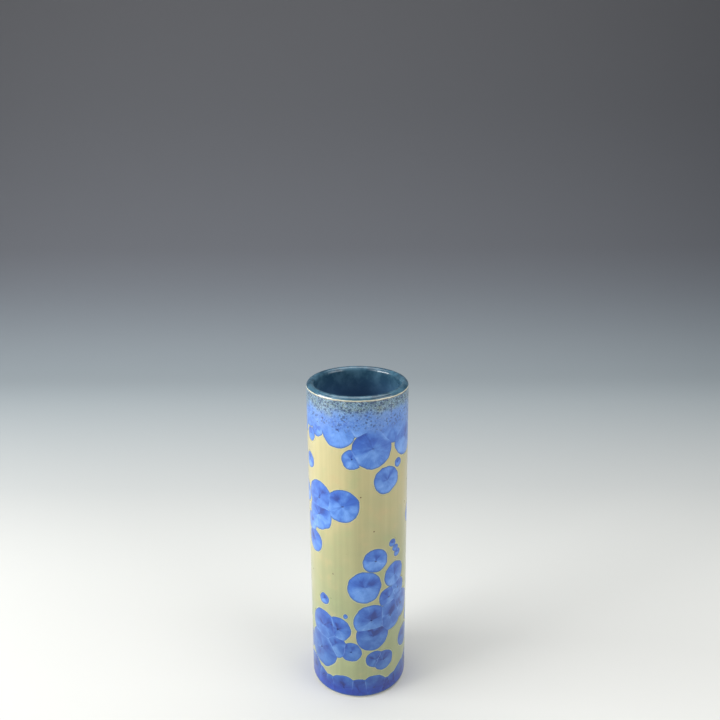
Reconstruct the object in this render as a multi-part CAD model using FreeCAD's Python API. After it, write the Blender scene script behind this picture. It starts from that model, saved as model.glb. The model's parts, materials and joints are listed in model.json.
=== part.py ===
import FreeCAD, Part
import math
import os

# A wheel-thrown cylinder bud vase in white porcelain with a crystalline glaze.
# Millimetres, +Z up, origin at the centre of the face that it stands on, front towards -Y.
# A fired vase doesn't come apart, so its pieces are the clay, the coats of glaze fused to it,
# and the zinc silicate crystals that grew in the outer coat.

# ---------------------------------------------------------------- driving dimensions
HEIGHT = 254.0
OUTER_RADIUS = 38.1

OUTER_COAT = 0.8  # glaze thickness on the outside of the wall
LINER_COAT = 0.6  # and on the inside
FLOOR_COAT = 0.9  # the liner pools on the floor
CROWN_COAT = 0.4  # glaze pulls thin over the top of the lip
CLAY_WALL = 4.6

CLAY_FLOOR_TOP = 8.0
INNER_FILLET = 16.0  # clay fillet between the wall and the floor

FOOT_ROUND = 2.5  # outer edge of the foot
GLAZE_LINE_ANGLE = 28.0  # the coat is wiped back to this many degrees round the foot's edge
GLAZE_LINE_DROP = 0.2  # and its bare edge slopes down to the clay by this much
FOOT_RING_INNER = 29.5
RECESS_DEPTH = 1.6
RECESS_TAPER = 1.2  # the recess wall leans in by this much

RIM_BAND_BOTTOM = 238.0  # the second glaze covers the wall from here to the lip
LIP_LINE_FROM = 2.0  # degrees round the lip's crown where the pale edge line starts and ends
LIP_LINE_TO = 27.0

CRYSTAL_DEPTH = 0.4
NUCLEUS_SHARE = 0.07  # a crystal's dark core is this share of its reach
SPECK_RADIUS = 0.6
SPECK_DEPTH = 0.25

# ---------------------------------------------------------------- crystals
# Each is (degrees round the vase from the front, towards +X; height; reach).
# Where two would overlap, the growth fronts meet in a straight line and both stop there.
RIM_CRYSTALS = [
    (-68, 235, 11), (-63, 219, 5.5), (-50, 226, 6.5), (-41, 236, 9), (-22, 229, 14),
    (-6, 207, 8), (0, 237, 13), (17, 214.5, 15.5), (42, 229, 13), (66, 216, 14),
    (88, 231, 13), (109, 225, 15), (129, 217, 11), (143, 232, 12), (166, 226, 15),
    (188, 219, 9), (196, 234, 11), (219, 225, 15), (240, 213, 8), (245, 233, 11),
    (268, 227, 13),
]
SHOULDER_CRYSTALS = [
    (34, 188, 11), (51, 199, 3.8), (-68, 197, 6.5), (98, 194, 9), (140, 187, 12.5),
    (157, 199, 4.5), (211, 193, 8.5), (231, 181, 12), (262, 204, 5.5),
]
BELLY_CRYSTALS = [
    (-18, 169, 13.5), (-49, 171, 13.5), (-50, 157, 13), (-67, 146, 8), (-60, 132, 9.5),
    (43, 134, 3.4), (47.5, 128.5, 3.2), (51, 123.5, 3.6), (20, 123, 10.2),
    (86, 148, 9), (105, 139, 13), (120, 153, 6), (172, 151, 14), (190, 139, 9.5),
    (199, 158, 7), (248, 130, 10.5), (262, 139, 5.5), (278, 168, 9),
]
LOWER_CRYSTALS = [
    (7.5, 101, 13.5), (47, 106, 10.5), (38, 88, 9), (53, 92, 8.5), (-44, 85, 5),
    (-15.5, 75, 2.2), (15, 71, 14), (17, 57, 13.5), (41, 71, 13.5), (60, 75, 12),
    (-46, 60, 14), (-25, 62, 11), (-50, 38, 16), (-30, 46, 11), (-9, 43, 8.7),
    (20, 35, 7.8), (31, 32, 9), (69, 42, 9.5), (86, 57, 8), (99, 86, 12.5),
    (110, 66, 10), (124, 98, 6.5), (141, 71, 15), (154, 49, 10.5), (171, 88, 11),
    (187, 64, 14), (206, 45, 11.5), (214, 97, 9), (236, 72, 13), (256, 57, 12),
    (263, 90, 7.5), (276, 35, 10), (243, 34, 6),
]
FOOT_CRYSTALS = [
    (-68, 13, 12), (-51, 10, 9), (-37, 8, 8.5), (-18, 8, 12), (1, 6, 12),
    (18, 8, 12), (33, 5, 9.5), (46, 6, 9.5), (62, 8, 12), (80, 11, 13),
    (99, 6, 12), (116, 9, 12), (134, 6, 11), (151, 10, 13), (170, 6, 12),
    (188, 9, 12), (206, 5, 11), (222, 9, 12), (240, 6, 12), (257, 10, 12),
    (274, 7, 12),
]
CRYSTAL_GROUPS = {
    "rim_crystals": RIM_CRYSTALS,
    "shoulder_crystals": SHOULDER_CRYSTALS,
    "belly_crystals": BELLY_CRYSTALS,
    "lower_crystals": LOWER_CRYSTALS,
    "foot_crystals": FOOT_CRYSTALS,
}
# Iron specks fired into the outer coat: (degrees, height).
IRON_SPECKS = [
    (3, 177), (18.5, 148), (-31, 110), (76, 178), (128, 122), (158, 171), (224, 151),
    (237, 112), (292, 103),
]

# ---------------------------------------------------------------- worked out from those
INNER_RADIUS = OUTER_RADIUS - OUTER_COAT - CLAY_WALL - LINER_COAT
CLAY_OUTER = OUTER_RADIUS - OUTER_COAT
CLAY_INNER = CLAY_OUTER - CLAY_WALL
FLOOR_TOP = CLAY_FLOOR_TOP + FLOOR_COAT

LIP_ROUND = (OUTER_RADIUS - INNER_RADIUS) / 2
LIP_CENTRE = (OUTER_RADIUS - LIP_ROUND, HEIGHT - LIP_ROUND)
CLAY_LIP_ROUND = CLAY_WALL / 2
CLAY_LIP_CENTRE = (CLAY_OUTER - CLAY_LIP_ROUND, HEIGHT - CROWN_COAT - CLAY_LIP_ROUND)

FOOT_CENTRE = (OUTER_RADIUS - FOOT_ROUND, FOOT_ROUND)
CLAY_FOOT_ANGLE = math.degrees(math.acos((CLAY_OUTER - FOOT_CENTRE[0]) / FOOT_ROUND))
LINER_FILLET = INNER_FILLET - LINER_COAT


def on_arc(centre, radius, degrees):
    """The point on an arc of the section, with the angle measured up from outwards."""
    angle = math.radians(degrees)
    return (centre[0] + radius * math.cos(angle), centre[1] + radius * math.sin(angle))


def vector(point):
    return FreeCAD.Vector(point[0], 0, point[1])


def line(start, end):
    return Part.makeLine(vector(start), vector(end))


def arc(centre, radius, start, end):
    """An arc of the section from one angle to another, in degrees."""
    points = [on_arc(centre, radius, a) for a in (start, (start + end) / 2, end)]
    return Part.Arc(*[vector(p) for p in points]).toShape()


def turn(edges):
    """Spins a closed section about the vase's axis."""
    face = Part.Face(Part.Wire(edges))
    solid = face.revolve(FreeCAD.Vector(0, 0, 0), FreeCAD.Vector(0, 0, 1), 360)
    if solid.Volume < 0:
        solid.reverse()
    return solid


def make_clay_body():
    """Wall, half-round lip, floor and the ground foot ring, all one piece of clay."""
    recess_top = FOOT_RING_INNER - RECESS_TAPER
    fillet = (CLAY_INNER - INNER_FILLET, CLAY_FLOOR_TOP + INNER_FILLET)
    return turn([
        line((0, RECESS_DEPTH), (recess_top, RECESS_DEPTH)),
        line((recess_top, RECESS_DEPTH), (FOOT_RING_INNER, 0)),
        line((FOOT_RING_INNER, 0), (FOOT_CENTRE[0], 0)),
        arc(FOOT_CENTRE, FOOT_ROUND, -90, -CLAY_FOOT_ANGLE),
        line(on_arc(FOOT_CENTRE, FOOT_ROUND, -CLAY_FOOT_ANGLE), (CLAY_OUTER, CLAY_LIP_CENTRE[1])),
        arc(CLAY_LIP_CENTRE, CLAY_LIP_ROUND, 0, 180),
        line((CLAY_INNER, CLAY_LIP_CENTRE[1]), (CLAY_INNER, fillet[1])),
        arc(fillet, INNER_FILLET, 0, -90),
        line((fillet[0], CLAY_FLOOR_TOP), (0, CLAY_FLOOR_TOP)),
        line((0, CLAY_FLOOR_TOP), (0, RECESS_DEPTH)),
    ])


def make_outer_glaze():
    """The crystalline coat, from the foot to the second glaze, with no crystals let in yet."""
    glaze_line = on_arc(FOOT_CENTRE, FOOT_ROUND, -GLAZE_LINE_ANGLE)
    on_clay = (CLAY_OUTER, glaze_line[1] - GLAZE_LINE_DROP)
    return turn([
        arc(FOOT_CENTRE, FOOT_ROUND, -GLAZE_LINE_ANGLE, 0),
        line((OUTER_RADIUS, FOOT_ROUND), (OUTER_RADIUS, RIM_BAND_BOTTOM)),
        line((OUTER_RADIUS, RIM_BAND_BOTTOM), (CLAY_OUTER, RIM_BAND_BOTTOM)),
        line((CLAY_OUTER, RIM_BAND_BOTTOM), on_clay),
        line(on_clay, glaze_line),
    ])


def make_rim_glaze():
    """The second glaze, brushed round the mouth over the last of the wall."""
    outer_end = on_arc(LIP_CENTRE, LIP_ROUND, LIP_LINE_FROM)
    clay_end = on_arc(CLAY_LIP_CENTRE, CLAY_LIP_ROUND, LIP_LINE_FROM)
    return turn([
        line((CLAY_OUTER, RIM_BAND_BOTTOM), (OUTER_RADIUS, RIM_BAND_BOTTOM)),
        line((OUTER_RADIUS, RIM_BAND_BOTTOM), (OUTER_RADIUS, LIP_CENTRE[1])),
        arc(LIP_CENTRE, LIP_ROUND, 0, LIP_LINE_FROM),
        line(outer_end, clay_end),
        arc(CLAY_LIP_CENTRE, CLAY_LIP_ROUND, LIP_LINE_FROM, 0),
        line((CLAY_OUTER, CLAY_LIP_CENTRE[1]), (CLAY_OUTER, RIM_BAND_BOTTOM)),
    ])


def make_lip_edge_glaze():
    """The pale line where the glaze breaks thin over the outer edge of the lip."""
    outer = [on_arc(LIP_CENTRE, LIP_ROUND, a) for a in (LIP_LINE_FROM, LIP_LINE_TO)]
    clay = [on_arc(CLAY_LIP_CENTRE, CLAY_LIP_ROUND, a) for a in (LIP_LINE_FROM, LIP_LINE_TO)]
    return turn([
        line(clay[0], outer[0]),
        arc(LIP_CENTRE, LIP_ROUND, LIP_LINE_FROM, LIP_LINE_TO),
        line(outer[1], clay[1]),
        arc(CLAY_LIP_CENTRE, CLAY_LIP_ROUND, LIP_LINE_TO, LIP_LINE_FROM),
    ])


def make_liner_glaze():
    """The inside coat: over the crown of the lip, down the wall and across the floor."""
    outer_end = on_arc(LIP_CENTRE, LIP_ROUND, LIP_LINE_TO)
    clay_end = on_arc(CLAY_LIP_CENTRE, CLAY_LIP_ROUND, LIP_LINE_TO)
    fillet = (INNER_RADIUS - LINER_FILLET, FLOOR_TOP + LINER_FILLET)
    clay_fillet = (CLAY_INNER - INNER_FILLET, CLAY_FLOOR_TOP + INNER_FILLET)
    return turn([
        line(clay_end, outer_end),
        arc(LIP_CENTRE, LIP_ROUND, LIP_LINE_TO, 180),
        line((INNER_RADIUS, LIP_CENTRE[1]), (INNER_RADIUS, fillet[1])),
        arc(fillet, LINER_FILLET, 0, -90),
        line((fillet[0], FLOOR_TOP), (0, FLOOR_TOP)),
        line((0, FLOOR_TOP), (0, CLAY_FLOOR_TOP)),
        line((0, CLAY_FLOOR_TOP), (clay_fillet[0], CLAY_FLOOR_TOP)),
        arc(clay_fillet, INNER_FILLET, -90, 0),
        line((CLAY_INNER, clay_fillet[1]), (CLAY_INNER, CLAY_LIP_CENTRE[1])),
        arc(CLAY_LIP_CENTRE, CLAY_LIP_ROUND, 180, LIP_LINE_TO),
    ])


def on_wall(degrees, height):
    """A point on the outside of the wall, and the way it faces."""
    angle = math.radians(degrees)
    facing = FreeCAD.Vector(math.sin(angle), -math.cos(angle), 0)
    return facing * OUTER_RADIUS + FreeCAD.Vector(0, 0, height), facing


def wall_layer(depth):
    """The outermost layer of the straight wall, between the foot's edge and the second glaze."""
    size = RIM_BAND_BOTTOM - FOOT_ROUND
    foot = FreeCAD.Vector(0, 0, FOOT_ROUND)
    outside = Part.makeCylinder(OUTER_RADIUS, size, foot)
    return outside.cut(Part.makeCylinder(OUTER_RADIUS - depth, size, foot))


def bar_at(degrees, height, radius):
    """A short round bar through the wall's surface, square to it."""
    centre, facing = on_wall(degrees, height)
    sunk = OUTER_RADIUS - math.sqrt(OUTER_RADIUS ** 2 - radius ** 2) + 2
    return Part.makeCylinder(radius, sunk + 1, centre - facing * sunk, facing)


def let_in(layer, degrees, height, radius):
    """A round solid that fills a layer of the wall."""
    return bar_at(degrees, height, radius).common(layer).Solids[0]


def beyond_meeting(seed, other):
    """A block on the other crystal's side of the plane where two growth fronts meet."""
    centre, _ = on_wall(seed[0], seed[1])
    there, _ = on_wall(other[0], other[1])
    way = there - centre
    gap = way.Length
    if gap >= seed[2] + other[2]:
        return None
    from_seed = (gap ** 2 + seed[2] ** 2 - other[2] ** 2) / (2 * gap)
    way.normalize()
    side = 2 * OUTER_RADIUS
    block = Part.makeBox(side, side, side, FreeCAD.Vector(-side / 2, -side / 2, 0))
    block.Placement = FreeCAD.Placement(
        centre + way * from_seed, FreeCAD.Rotation(FreeCAD.Vector(0, 0, 1), way)
    )
    return block


def grow(seed, everything, layer):
    """One crystal: round about its seed, stopped by its neighbours, and with its core left out."""
    crystal = bar_at(*seed)
    for other in everything:
        block = beyond_meeting(seed, other) if other is not seed else None
        if block:
            crystal = crystal.cut(block)
    crystal = crystal.cut(bar_at(seed[0], seed[1], NUCLEUS_SHARE * seed[2]))
    solids = crystal.common(layer).Solids
    if len(solids) != 1:
        raise ValueError(f"the crystal at {seed} grew {len(solids)} solids")
    return solids[0]


def make_crystals():
    """Every crystal by group, and their cores in the same order."""
    everything = [seed for group in CRYSTAL_GROUPS.values() for seed in group]
    layer = wall_layer(CRYSTAL_DEPTH)
    groups = {
        name: [grow(seed, everything, layer) for seed in seeds]
        for name, seeds in CRYSTAL_GROUPS.items()
    }
    cores = [let_in(layer, seed[0], seed[1], NUCLEUS_SHARE * seed[2]) for seed in everything]
    return groups, cores


def save(name, solids):
    shape = Part.makeCompound(solids)
    if not shape.isValid() or any(s.Volume <= 0 for s in solids):
        raise ValueError(f"{name} isn't a valid solid")
    shape.exportStep(f"parts/{name}.step")
    print(f"{name}: {len(solids)} solids, {shape.Volume / 1000:.3f} cm3")


def main():
    os.makedirs("parts", exist_ok=True)
    crystals, cores = make_crystals()
    speck_layer = wall_layer(SPECK_DEPTH)
    specks = [let_in(speck_layer, degrees, z, SPECK_RADIUS) for degrees, z in IRON_SPECKS]
    let_into_coat = [solid for group in crystals.values() for solid in group] + cores + specks
    save("clay_body", [make_clay_body()])
    save("liner_glaze", [make_liner_glaze()])
    save("lip_edge_glaze", [make_lip_edge_glaze()])
    save("rim_glaze", [make_rim_glaze()])
    save("outer_glaze", make_outer_glaze().cut(let_into_coat).Solids)
    for name, solids in crystals.items():
        save(name, solids)
    save("crystal_cores", cores)
    save("iron_specks", specks)


main()
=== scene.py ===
import json
import math

import bmesh
import bpy
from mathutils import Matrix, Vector


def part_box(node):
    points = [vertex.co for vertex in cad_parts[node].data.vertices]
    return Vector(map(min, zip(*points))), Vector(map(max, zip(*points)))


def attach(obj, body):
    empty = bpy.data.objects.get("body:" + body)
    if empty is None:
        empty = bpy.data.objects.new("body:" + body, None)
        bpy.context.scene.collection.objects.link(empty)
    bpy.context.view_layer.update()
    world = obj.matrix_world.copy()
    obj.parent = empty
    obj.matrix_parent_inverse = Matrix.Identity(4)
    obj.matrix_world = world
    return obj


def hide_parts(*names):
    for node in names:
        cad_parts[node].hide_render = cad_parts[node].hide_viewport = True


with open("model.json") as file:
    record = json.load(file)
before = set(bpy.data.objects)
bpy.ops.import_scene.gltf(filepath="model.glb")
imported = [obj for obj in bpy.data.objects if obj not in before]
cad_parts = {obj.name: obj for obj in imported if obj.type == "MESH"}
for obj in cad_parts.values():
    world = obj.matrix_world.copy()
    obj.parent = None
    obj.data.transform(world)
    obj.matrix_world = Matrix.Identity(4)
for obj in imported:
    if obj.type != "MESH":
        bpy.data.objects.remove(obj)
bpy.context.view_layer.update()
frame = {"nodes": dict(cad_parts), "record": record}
scene = bpy.context.scene
mm = 0.001
print("stage: frame loaded")

# Everything is measured off the frame; only what it can't tell is written here.
rimLow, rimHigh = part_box("rim_glaze")
linerLow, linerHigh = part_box("liner_glaze")
mouth = next(m for m in frame["record"]["mounts"] if m["name"] == "mouth")
wall = {
    "outer": rimHigh[0],
    "inner": mouth["dims"]["r_mm"] * mm,
    "top": linerHigh[2],
    "bandBottom": rimLow[2],
    "coat": 0.75 * mm,
    "liner": 0.55 * mm,
    "footRound": 2.5 * mm,
    "glazeLineAngle": 28,
    "floor": linerLow[2] + 0.9 * mm,
    "lipLineFrom": 2,  # degrees round the lip, from outwards
    "lipLineTo": 27,
    "stepsAround": 288,
}
wall["lipRound"] = (wall["outer"] - wall["inner"]) / 2
wall["lipRadius"] = wall["outer"] - wall["lipRound"]
wall["lipHeight"] = wall["top"] - wall["lipRound"]
wall["filletTop"] = wall["lipHeight"] - mouth["dims"]["length_mm"] * mm
wall["fillet"] = wall["filletTop"] - wall["floor"]


def paint(red, green, blue):
    # sRGB 0-255 to the linear colour that sockets take
    steps = [c / 255 for c in (red, green, blue)]
    return [c / 12.92 if c <= 0.04045 else ((c + 0.055) / 1.055) ** 2.4 for c in steps] + [1]


# wiring helpers, for shader and geometry trees alike
def feed(tree, socket, value):
    if isinstance(value, bpy.types.NodeSocket):
        tree.links.new(value, socket)
    else:
        socket.default_value = value


def add(tree, kind, inputs=None, **settings):
    node = tree.nodes.new(kind)
    for name, value in settings.items():
        setattr(node, name, value)
    for key, value in (inputs or {}).items():
        feed(tree, node.inputs[key], value)
    return node


def calc(tree, operation, *values):
    return add(tree, "ShaderNodeMath", dict(enumerate(values)), operation=operation).outputs[0]


def plus(tree, first, second):
    return calc(tree, "ADD", first, second)


def minus(tree, first, second):
    return calc(tree, "SUBTRACT", first, second)


def times(tree, first, *others):
    for other in others:
        first = calc(tree, "MULTIPLY", first, other)
    return first


def over(tree, first, second):
    return calc(tree, "DIVIDE", first, second)


def calcVector(tree, operation, *values):
    node = add(tree, "ShaderNodeVectorMath", dict(enumerate(values)), operation=operation)
    return node.outputs["Value"] if operation in ("LENGTH", "DOT_PRODUCT") else node.outputs[0]


def scaled(tree, vector, factor):
    node = add(tree, "ShaderNodeVectorMath", {0: vector, "Scale": factor}, operation="SCALE")
    return node.outputs[0]


def joined(tree, x, y, z):
    return add(tree, "ShaderNodeCombineXYZ", {"X": x, "Y": y, "Z": z}).outputs[0]


def parts(tree, vector):
    return add(tree, "ShaderNodeSeparateXYZ", {0: vector}).outputs


def spread(tree, value, low, high, toLow=0.0, toHigh=1.0):
    # a soft step from toLow at low to toHigh at high
    return add(tree, "ShaderNodeMapRange", {
        "Value": value, "From Min": low, "From Max": high, "To Min": toLow, "To Max": toHigh,
    }, interpolation_type="SMOOTHSTEP").outputs[0]


def noise(tree, vector, scale, detail=2.0, roughness=0.5, output=0):
    return add(tree, "ShaderNodeTexNoise", {
        "Vector": vector, "Scale": scale, "Detail": detail, "Roughness": roughness,
    }).outputs[output]


def swing(tree, vector, scale, detail, reach):
    # noise about zero, up to half the reach each way
    return times(tree, minus(tree, noise(tree, vector, scale, detail), 0.5), reach)


def blend(tree, factor, first, second, how="MIX"):
    node = add(tree, "ShaderNodeMix", data_type="RGBA", blend_type=how)
    feed(tree, node.inputs[0], factor)
    feed(tree, node.inputs[6], first)
    feed(tree, node.inputs[7], second)
    return node.outputs[2]


def washed(tree, colour, tint, mask, low, high, strength=1.0, how="MIX"):
    # lays a tint over a colour as a mask goes from low to high
    return blend(tree, spread(tree, mask, low, high, 0.0, strength), colour, tint, how)


def ramp(tree, factor, stops, between="LINEAR"):
    node = add(tree, "ShaderNodeValToRGB", {"Fac": factor})
    node.color_ramp.interpolation = between
    while len(node.color_ramp.elements) < len(stops):
        node.color_ramp.elements.new(0.5)
    for element, (place, colour) in zip(node.color_ramp.elements, stops):
        element.position = place
        element.color = colour
    return node.outputs[0]


def newGroup(name, kind, inputs, outputs):
    group = bpy.data.node_groups.new(name, kind)
    for label, socketType, *default in inputs:
        socket = group.interface.new_socket(label, in_out="INPUT", socket_type=socketType)
        if default:
            socket.default_value = default[0]
    for label, socketType in outputs:
        group.interface.new_socket(label, in_out="OUTPUT", socket_type=socketType)
    return group, add(group, "NodeGroupInput").outputs, add(group, "NodeGroupOutput").inputs


def useGroup(tree, group, **inputs):
    kind = "GeometryNodeGroup" if tree.bl_idname == "GeometryNodeTree" else "ShaderNodeGroup"
    node = add(tree, kind, node_tree=group)
    for key, value in inputs.items():
        feed(tree, node.inputs[key.replace("_", " ")], value)
    return node.outputs


floatKind, wholeKind, vectorKind = "NodeSocketFloat", "NodeSocketInt", "NodeSocketVector"
colourKind, shapeKind, materialKind = "NodeSocketColor", "NodeSocketGeometry", "NodeSocketMaterial"


# the wheel's marks: how far the wall wanders in or out, the same for every coat on it
wander = {
    "rings": 85.0, "turns": 0.55, "depth": 0.035 * mm,
    "sway": 0.10 * mm, "swayHeight": 9.0, "swayScale": 0.9,
}


def buildWander():
    group, given, out = newGroup("wheelWander", "GeometryNodeTree", [
        ("Around", floatKind), ("Height", floatKind),
    ], [("Offset", floatKind)])
    east = calc(group, "SINE", given["Around"])
    south = calc(group, "COSINE", given["Around"])
    turns = wander["turns"]
    ringPlace = joined(group, times(group, east, turns), times(group, south, turns),
                       times(group, given["Height"], wander["rings"]))
    swayPlace = joined(group, east, south, times(group, given["Height"], wander["swayHeight"]))
    rings = swing(group, ringPlace, 1.0, 1.0, 2 * wander["depth"])
    sway = swing(group, swayPlace, wander["swayScale"], 0.0, 2 * wander["sway"])
    feed(group, out["Offset"], plus(group, rings, sway))
    return group


wheelWander = buildWander()


def onMesh(tree, kind, geometry, inputs=None, **settings):
    # one more node at the end of a chain of geometry
    return add(tree, kind, {"Geometry": geometry, **(inputs or {})}, **settings).outputs[0]


def moved(tree, geometry, position):
    return onMesh(tree, "GeometryNodeSetPosition", geometry, {"Position": position})


def finishMesh(tree, geometry, material, output, join=0.002 * mm, crease=0.6):
    # close seams and poles, smooth the faces, keep the corners of the section crisp
    geometry = onMesh(tree, "GeometryNodeMergeByDistance", geometry, {"Distance": join})
    geometry = onMesh(tree, "GeometryNodeSetShadeSmooth", geometry, {"Shade Smooth": True})
    angle = add(tree, "GeometryNodeInputMeshEdgeAngle").outputs["Unsigned Angle"]
    sharp = add(tree, "FunctionNodeCompare", {0: angle, 1: crease}, operation="GREATER_THAN")
    geometry = onMesh(tree, "GeometryNodeSetShadeSmooth", geometry, {
        "Selection": sharp.outputs[0], "Shade Smooth": False}, domain="EDGE")
    geometry = onMesh(tree, "GeometryNodeRealizeInstances", geometry)
    geometry = onMesh(tree, "GeometryNodeSetMaterial", geometry, {"Material": material})
    feed(tree, output, geometry)


def bentSheet(tree, columns, rows):
    # a grid that is about to be bent round: its mesh, and each point's row and angle
    grid = add(tree, "GeometryNodeMeshGrid", {
        "Size X": 1.0, "Size Y": 1.0, "Vertices X": plus(tree, columns, 1), "Vertices Y": rows,
    }).outputs[0]
    index = add(tree, "GeometryNodeInputIndex").outputs[0]
    row = calc(tree, "MODULO", index, rows)
    column = calc(tree, "FLOOR", over(tree, plus(tree, index, 0.5), rows))
    return grid, row, over(tree, times(tree, column, 2 * math.pi), columns)


def aboutAxis(tree, radius, around, height):
    # zero degrees is the front, towards -Y, and the angle grows towards +X
    return joined(tree, times(tree, radius, calc(tree, "SINE", around)),
                  times(tree, radius, calc(tree, "COSINE", around), -1), height)


def buildTurnOnWheel():
    # spins a section, given as points of (radius, -, height), about the vase's axis
    tree, given, out = newGroup("turnOnWheel", "GeometryNodeTree", [
        ("Section", shapeKind), ("Steps Around", wholeKind, 256),
        ("Material", materialKind),
    ], [("Mesh", shapeKind)])
    counted = add(tree, "GeometryNodeAttributeDomainSize", {0: given["Section"]})
    rows = counted.outputs["Point Count"]
    grid, row, around = bentSheet(tree, given["Steps Around"], rows)
    place = add(tree, "GeometryNodeInputPosition").outputs[0]
    point = parts(tree, add(tree, "GeometryNodeSampleIndex", {
        "Geometry": given["Section"], "Value": place, "Index": row,
    }, data_type="FLOAT_VECTOR").outputs[0])
    offset = useGroup(tree, wheelWander, Around=around, Height=point[2])[0]
    offAxis = calc(tree, "GREATER_THAN", point[0], 10 * mm)
    radius = plus(tree, point[0], times(tree, offset, offAxis))
    turned = moved(tree, grid, aboutAxis(tree, radius, around, point[2]))
    finishMesh(tree, turned, given["Material"], out["Mesh"])
    return tree


def runTree(tree, source, name, **inputs):
    # evaluates a tree on a source object and keeps only the plain mesh
    modifier = source.modifiers.new(tree.name, "NODES")
    modifier.node_group = tree
    sockets = {i.name: i.identifier for i in tree.interface.items_tree if i.in_out == "INPUT"}
    for key, value in inputs.items():
        modifier[sockets[key.replace("_", " ")]] = value
    evaluated = source.evaluated_get(bpy.context.evaluated_depsgraph_get())
    mesh = bpy.data.meshes.new_from_object(evaluated)
    source.modifiers.remove(modifier)
    mesh.name = name
    piece = bpy.data.objects.new(name, mesh)
    scene.collection.objects.link(piece)
    return piece


def pointsObject(name, points, **attributes):
    mesh = bpy.data.meshes.new(name)
    mesh.from_pydata(points, [], [])
    for key, values in attributes.items():
        mesh.attributes.new(key, "FLOAT", "POINT").data.foreach_set("value", values)
    source = bpy.data.objects.new(name, mesh)
    scene.collection.objects.link(source)
    return source


def dropSource(source):
    mesh = source.data
    bpy.data.objects.remove(source)
    bpy.data.meshes.remove(mesh)


def arcPoints(centre, radius, start, end, steps):
    angles = [math.radians(start + (end - start) * i / steps) for i in range(steps + 1)]
    return [(centre[0] + radius * math.cos(a), centre[1] + radius * math.sin(a)) for a in angles]


def upright(radius, start, end, steps):
    return [(radius, start + (end - start) * i / steps) for i in range(steps + 1)]


# sections of the coats, each run anticlockwise: up the outside, down the inside
def outerCoatSection():
    foot = (wall["outer"] - wall["footRound"], wall["footRound"])
    inside = wall["outer"] - wall["coat"]
    bend = arcPoints(foot, wall["footRound"], -wall["glazeLineAngle"], 0, 8)
    rise = upright(wall["outer"], wall["footRound"], wall["bandBottom"], 118)
    return bend + rise[1:] + [(inside, wall["bandBottom"]), (inside, bend[0][1] - 0.2 * mm)]


def rimCoatSection():
    lip = (wall["lipRadius"], wall["lipHeight"])
    rise = upright(wall["outer"], wall["bandBottom"], wall["lipHeight"], 13)
    crown = arcPoints(lip, wall["lipRound"], 0, wall["lipLineFrom"], 1)
    under = arcPoints(lip, wall["lipRound"] - wall["coat"], wall["lipLineFrom"], 0, 1)
    return rise + crown[1:] + under + [(under[-1][0], wall["bandBottom"])]


def lipEdgeSection():
    lip = (wall["lipRadius"], wall["lipHeight"])
    start, end = wall["lipLineFrom"], wall["lipLineTo"]
    return (arcPoints(lip, wall["lipRound"], start, end, 10)
            + arcPoints(lip, wall["lipRound"] - wall["liner"], end, start, 4))


def linerSection():
    lip = (wall["lipRadius"], wall["lipHeight"])
    corner = (wall["inner"] - wall["fillet"], wall["filletTop"])
    thin = wall["liner"]
    crown = arcPoints(lip, wall["lipRound"], wall["lipLineTo"], 180, 44)
    drop = upright(wall["inner"], wall["lipHeight"], wall["filletTop"], 100)
    bend = arcPoints(corner, wall["fillet"], 0, -90, 20)
    back = arcPoints(corner, wall["fillet"] + thin, -90, 0, 12)
    under = arcPoints(lip, wall["lipRound"] - thin, 180, wall["lipLineTo"], 20)
    return (crown + drop[1:] + bend[1:] + [(0, wall["floor"]), (0, wall["floor"] - thin)]
            + back + under)


turnOnWheel = buildTurnOnWheel()


def turnCoat(name, section, material):
    ring = section + section[:1]
    source = pointsObject(name + "Section", [(r, 0, z) for r, z in ring])
    piece = runTree(turnOnWheel, source, name, Material=material,
                    Steps_Around=wall["stepsAround"])
    dropSource(source)
    return piece


# crystals: where each was seeded and how far it reached, read off the cores in the frame
crystal = {
    "coreShare": 0.07,
    "drag": 9 * mm,
    "dragDepth": 0.9 * mm,
    "dragFrom": (1 * mm, 7 * mm),
    "shape": {
        "Margin": 1.2 * mm, "Lobes": 0.08, "Skin": 0.035 * mm, "Sunk": 0.25 * mm,
        "Spokes": 120, "Rings": 9, "Top": wall["lipHeight"] - 3 * mm,
        "Bottom": wall["footRound"] * (1 - math.radians(24)),  # 24 degrees round the foot's edge
    },
}


def nodeIslands(name):
    # the separate solids of a frame node, as lists of points
    copy = bmesh.new()
    copy.from_mesh(frame["nodes"][name].data)
    bmesh.ops.remove_doubles(copy, verts=copy.verts, dist=0.005 * mm)
    unseen = set(copy.verts)
    islands = []
    while unseen:
        stack, found = [unseen.pop()], []
        while stack:
            vertex = stack.pop()
            found.append(vertex.co.copy())
            for edge in vertex.link_edges:
                other = edge.other_vert(vertex)
                if other in unseen:
                    unseen.remove(other)
                    stack.append(other)
        islands.append(found)
    copy.free()
    return islands


def roundPlug(points):
    # the direction, height and radius of a round plug let into the wall
    middle = sum(points, Vector()) / len(points)
    around = math.atan2(middle.x, -middle.y)
    across = Vector((math.cos(around), math.sin(around), 0))
    sizes = [math.hypot((p - middle).dot(across), p.z - middle.z) for p in points]
    return around, middle.z, sum(sizes) / len(sizes)


def wallPoint(around, height):
    return Vector((wall["outer"] * math.sin(around), -wall["outer"] * math.cos(around), height))


def nearestGroup(around, height, groups):
    place = wallPoint(around, height)
    return min(groups, key=lambda name: min((p - place).length for p in groups[name]))


crystalNodes = [n for n in frame["nodes"] if n.endswith("_crystals")]
nodePoints = {n: [v.co.copy() for v in frame["nodes"][n].data.vertices] for n in crystalNodes}
plugs = sorted(roundPlug(points) for points in nodeIslands("crystal_cores"))
seeds = [{
    "around": around, "height": height, "reach": radius / crystal["coreShare"],
    "number": number, "group": nearestGroup(around, height, nodePoints),
} for number, (around, height, radius) in enumerate(plugs)]
print("stage:", len(seeds), "crystal seeds read")


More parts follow.
